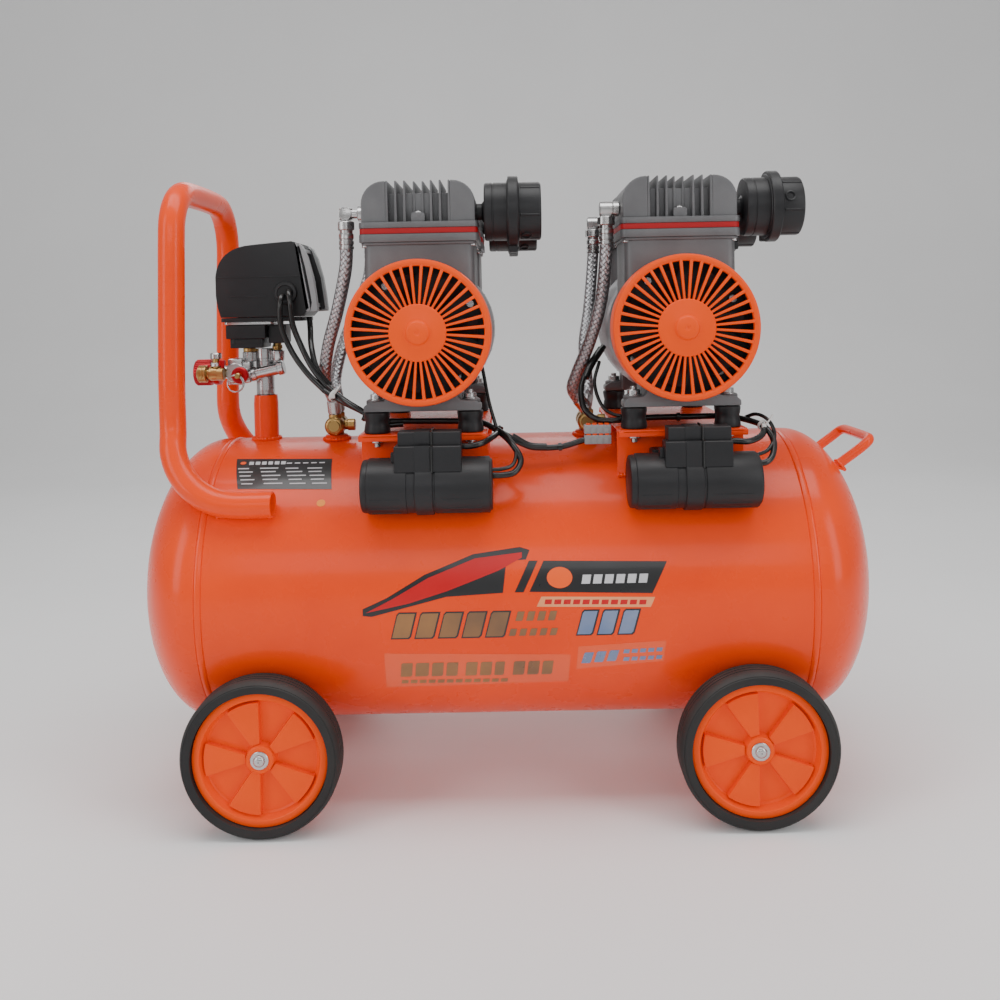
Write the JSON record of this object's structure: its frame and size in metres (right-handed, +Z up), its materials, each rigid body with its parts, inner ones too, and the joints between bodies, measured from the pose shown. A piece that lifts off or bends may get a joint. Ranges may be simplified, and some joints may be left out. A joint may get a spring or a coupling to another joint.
{
  "type": "twin pump air compressor",
  "caption": "Oil-free air compressor: horizontal receiver on four wheels carrying two electric piston pumps, with pressure switch, regulator and outlet cock.",
  "frame": {"origin": "on the ground under the middle of the whole object", "axes": "+Z up, +X along the receiver away from the carry handle, -Y towards the front with the capacitors"},
  "size_m": [0.8231, 0.354, 0.6797],
  "materials": {
    "orange_paint": "gloss orange enamel",
    "orange_plastic": "moulded orange plastic, satin gloss",
    "grey_casting": "dark grey painted die casting",
    "black_plastic": "moulded black plastic, slight sheen",
    "tyre_rubber": "black rubber with fine circumferential grooves",
    "brass": "turned brass, lightly dulled",
    "zinc_steel": "zinc plated steel",
    "braided_steel": "braided stainless sleeve with crimped ferrules",
    "red_plastic": "glossy red plastic",
    "aluminium": "machined and cast aluminium",
    "cable_black": "black cable sheath",
    "gasket_red": "red head gasket",
    "label_black": "printed film decal without lettering",
    "grey_plastic": "grey moulded plastic",
    "white_plastic": "white nylon"
  },
  "bodies": {
    "frame": {"cable_harness": "cable_black", "carry_handle": "orange_paint", "diaphragm_housing": "black_plastic", "drain_cock": "brass", "grab_handle": "orange_paint", "left_axle_bracket": "orange_paint", "left_bracket": "orange_paint", "left_capacitor": "black_plastic", "left_casing": "grey_casting", "left_check_valve": "brass", "left_front_filter": "black_plastic", "left_front_guard": "orange_plastic", "left_front_head": "grey_casting", "left_front_hose": "braided_steel", "left_rear_filter": "black_plastic", "left_rear_guard": "orange_plastic", "left_rear_head": "grey_casting", "left_rear_hose": "braided_steel", "outlet_cock": "brass", "right_axle_bracket": "orange_paint", "right_bracket": "orange_paint", "right_capacitor": "black_plastic", "right_casing": "grey_casting", "right_check_valve": "brass", "right_front_filter": "black_plastic", "right_front_guard": "orange_plastic", "right_front_head": "grey_casting", "right_front_hose": "braided_steel", "right_rear_filter": "black_plastic", "right_rear_guard": "orange_plastic", "right_rear_head": "grey_casting", "right_rear_hose": "braided_steel", "riser_manifold": "zinc_steel", "switch_base": "zinc_steel", "switch_hood": "black_plastic", "tank_shell": "orange_paint", "unloader_valve": "black_plastic"},
    "front_left_wheel": {"front_left_rim": "orange_plastic", "front_left_tyre": "tyre_rubber"},
    "rear_left_wheel": {"rear_left_rim": "orange_plastic", "rear_left_tyre": "tyre_rubber"},
    "front_right_wheel": {"front_right_rim": "orange_plastic", "front_right_tyre": "tyre_rubber"},
    "rear_right_wheel": {"rear_right_rim": "orange_plastic", "rear_right_tyre": "tyre_rubber"},
    "left_rotor": {"left_rotor_shaft": "zinc_steel", "left_front_fan": "black_plastic", "left_rear_fan": "black_plastic"},
    "left_front_piston_body": {"left_front_piston": "aluminium"},
    "left_rear_piston_body": {"left_rear_piston": "aluminium"},
    "right_rotor": {"right_rotor_shaft": "zinc_steel", "right_front_fan": "black_plastic", "right_rear_fan": "black_plastic"},
    "right_front_piston_body": {"right_front_piston": "aluminium"},
    "right_rear_piston_body": {"right_rear_piston": "aluminium"},
    "regulator": {"regulator_knob": "red_plastic"},
    "sleeve": {"coupler_sleeve": "brass"},
    "safety": {"safety_pull": "red_plastic"},
    "lever": {"on_off_lever": "black_plastic"},
    "drain": {"drain_knob": "brass"}
  },
  "joints": [
    {"name": "front_left_wheel_spin", "type": "hinge", "parent": "frame", "child": "front_left_wheel", "pos_m": [-0.258, -0.16, 0.0815], "axis": [0, 1, 0], "continuous": true},
    {"name": "rear_left_wheel_spin", "type": "hinge", "parent": "frame", "child": "rear_left_wheel", "pos_m": [-0.258, 0.16, 0.0815], "axis": [0, 1, 0], "continuous": true},
    {"name": "front_right_wheel_spin", "type": "hinge", "parent": "frame", "child": "front_right_wheel", "pos_m": [0.247, -0.16, 0.0815], "axis": [0, 1, 0], "continuous": true},
    {"name": "rear_right_wheel_spin", "type": "hinge", "parent": "frame", "child": "rear_right_wheel", "pos_m": [0.247, 0.16, 0.0815], "axis": [0, 1, 0], "continuous": true},
    {"name": "left_shaft_spin", "type": "hinge", "parent": "frame", "child": "left_rotor", "pos_m": [-0.091, 0, 0.509], "axis": [0, 1, 0], "continuous": true},
    {"name": "left_front_piston_stroke", "type": "slide", "parent": "frame", "child": "left_front_piston_body", "axis": [0, 0, 1], "range_m": [-0.009, 0.009]},
    {"name": "left_rear_piston_stroke", "type": "slide", "parent": "frame", "child": "left_rear_piston_body", "axis": [0, 0, 1], "range_m": [-0.009, 0.009]},
    {"name": "right_shaft_spin", "type": "hinge", "parent": "frame", "child": "right_rotor", "pos_m": [0.1825, 0, 0.509], "axis": [0, 1, 0], "continuous": true},
    {"name": "right_front_piston_stroke", "type": "slide", "parent": "frame", "child": "right_front_piston_body", "axis": [0, 0, 1], "range_m": [-0.009, 0.009]},
    {"name": "right_rear_piston_stroke", "type": "slide", "parent": "frame", "child": "right_rear_piston_body", "axis": [0, 0, 1], "range_m": [-0.009, 0.009]},
    {"name": "regulator_turn", "type": "hinge", "parent": "frame", "child": "regulator", "pos_m": [-0.3505, 0, 0.464], "axis": [1, 0, 0], "range_deg": [-720, 720]},
    {"name": "sleeve_pull", "type": "slide", "parent": "frame", "child": "sleeve", "axis": [1, 0, 0], "range_m": [0, 0.0022], "stiffness_N_per_m": 400},
    {"name": "safety_pull_out", "type": "slide", "parent": "frame", "child": "safety", "axis": [0, -1, 0], "range_m": [0, 0.004], "stiffness_N_per_m": 500},
    {"name": "lever_throw", "type": "hinge", "parent": "frame", "child": "lever", "pos_m": [-0.2395, 0, 0.566], "axis": [0, 1, 0], "range_deg": [-15, 15]},
    {"name": "drain_turn", "type": "hinge", "parent": "frame", "child": "drain", "pos_m": [-0.3075, 0, 0.036], "axis": [0, 0, 1], "range_deg": [0, 360]}
  ]
}
